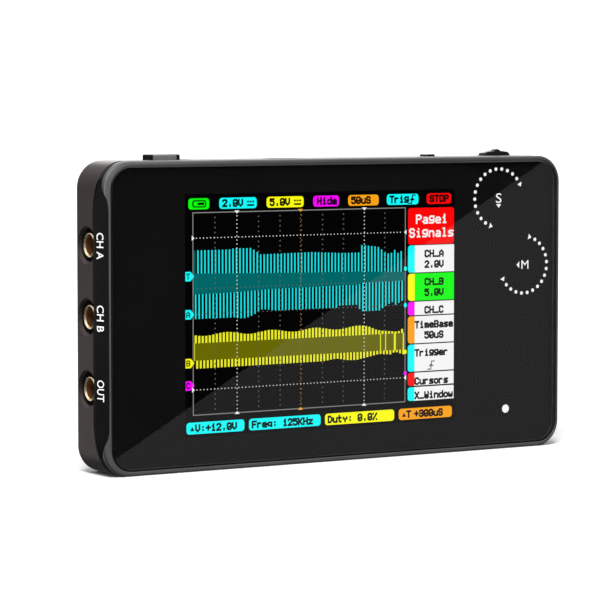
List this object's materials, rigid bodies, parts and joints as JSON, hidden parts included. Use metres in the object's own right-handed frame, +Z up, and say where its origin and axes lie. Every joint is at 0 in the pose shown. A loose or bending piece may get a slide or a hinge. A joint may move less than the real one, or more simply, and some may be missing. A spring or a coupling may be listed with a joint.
{
  "type": "pocket oscilloscope",
  "caption": "Flat pocket oscilloscope with a tinted front window over a colour display, signal jacks in one end, and a slide switch, button and two jog levers on its edges.",
  "frame": {"origin": "middle of the bottom edge's flat face, half way through the thickness", "axes": "+X to the right along the long side as seen from the front, +Y from the front window to the back, +Z up"},
  "size_m": [0.1012, 0.0108, 0.0576],
  "materials": {
    "window_glass": "glossy black tinted window",
    "bezel_metal": "satin silver-grey metal",
    "frame_plastic": "matt black plastic",
    "shell_anodised": "fine matt brown-grey anodising",
    "black_plastic": "black plastic",
    "lcd_black": "glossy display glass",
    "white_plastic": "matt white plastic",
    "clear_plastic": "clear plastic",
    "flex_film": "amber film",
    "board": "green solder mask",
    "gold": "bright gold plating",
    "steel": "bright steel",
    "screw_black": "black oxide",
    "battery_foil": "soft foil pouch",
    "tape": "foam tape",
    "lead_red": "red wire sleeve",
    "lead_black": "black wire sleeve",
    "gasket_foam": "black adhesive foam"
  },
  "bodies": {
    "case": {"front_window": "window_glass", "window_gasket": "gasket_foam", "front_bezel": "bezel_metal", "mid_frame": "frame_plastic", "rear_shell": "shell_anodised", "lcd_panel": "lcd_black", "lcd_backlight": "white_plastic", "lcd_flex": "flex_film", "main_board": "board", "processor_chip": "black_plastic", "memory_chip": "black_plastic", "amplifier_chip_a": "black_plastic", "amplifier_chip_b": "black_plastic", "output_driver_chip": "black_plastic", "charger_chip": "black_plastic", "clock_crystal": "steel", "indicator_led": "white_plastic", "indicator_light_pipe": "clear_plastic", "battery": "battery_foil", "battery_tape": "tape", "battery_connector": "white_plastic", "battery_lead_red": "lead_red", "battery_lead_black": "lead_black", "power_switch_case": "steel", "usb_port_shell": "steel", "usb_port_tongue": "black_plastic", "run_button_switch": "steel", "run_button_dome": "steel", "case_screw_1": "screw_black", "case_screw_2": "screw_black", "case_screw_3": "screw_black", "case_screw_4": "screw_black", "jack_a_shell": "gold", "jack_a_insulator": "white_plastic", "jack_a_contact": "gold", "jack_b_shell": "gold", "jack_b_insulator": "white_plastic", "jack_b_contact": "gold", "jack_out_shell": "gold", "jack_out_insulator": "white_plastic", "jack_out_contact": "gold", "s_dial_case": "black_plastic", "s_dial_dome": "steel", "m_dial_case": "black_plastic", "m_dial_dome": "steel"},
    "power_knob": {"power_switch_knob": "black_plastic"},
    "run_cap": {"run_button_cap": "black_plastic"},
    "s_dial_yoke": {"s_dial_yoke": "white_plastic", "s_dial_pin": "steel", "s_dial_spring": "steel"},
    "s_dial_lever": {"s_dial_lever": "black_plastic"},
    "m_dial_yoke": {"m_dial_yoke": "white_plastic", "m_dial_pin": "steel", "m_dial_spring": "steel"},
    "m_dial_lever": {"m_dial_lever": "black_plastic"}
  },
  "joints": [
    {"name": "power_switch_slide", "type": "slide", "parent": "case", "child": "power_knob", "axis": [1, 0, 0], "range_m": [0, 0.002]},
    {"name": "run_button_press", "type": "slide", "parent": "case", "child": "run_cap", "axis": [0, 0, -1], "range_m": [0, 0.0003]},
    {"name": "s_dial_press", "type": "slide", "parent": "case", "child": "s_dial_yoke", "axis": [0, 0, -1], "range_m": [0, 0.0004]},
    {"name": "s_dial_tilt", "type": "hinge", "parent": "s_dial_yoke", "child": "s_dial_lever", "pos_m": [0.039, 0.0012, 0.0533], "axis": [0, 1, 0], "range_deg": [-10, 10]},
    {"name": "m_dial_press", "type": "slide", "parent": "case", "child": "m_dial_yoke", "axis": [-1, 0, 0], "range_m": [0, 0.0004]},
    {"name": "m_dial_tilt", "type": "hinge", "parent": "m_dial_yoke", "child": "m_dial_lever", "pos_m": [0.0468, 0.0012, 0.0354], "axis": [0, 1, 0], "range_deg": [-10, 10]}
  ]
}
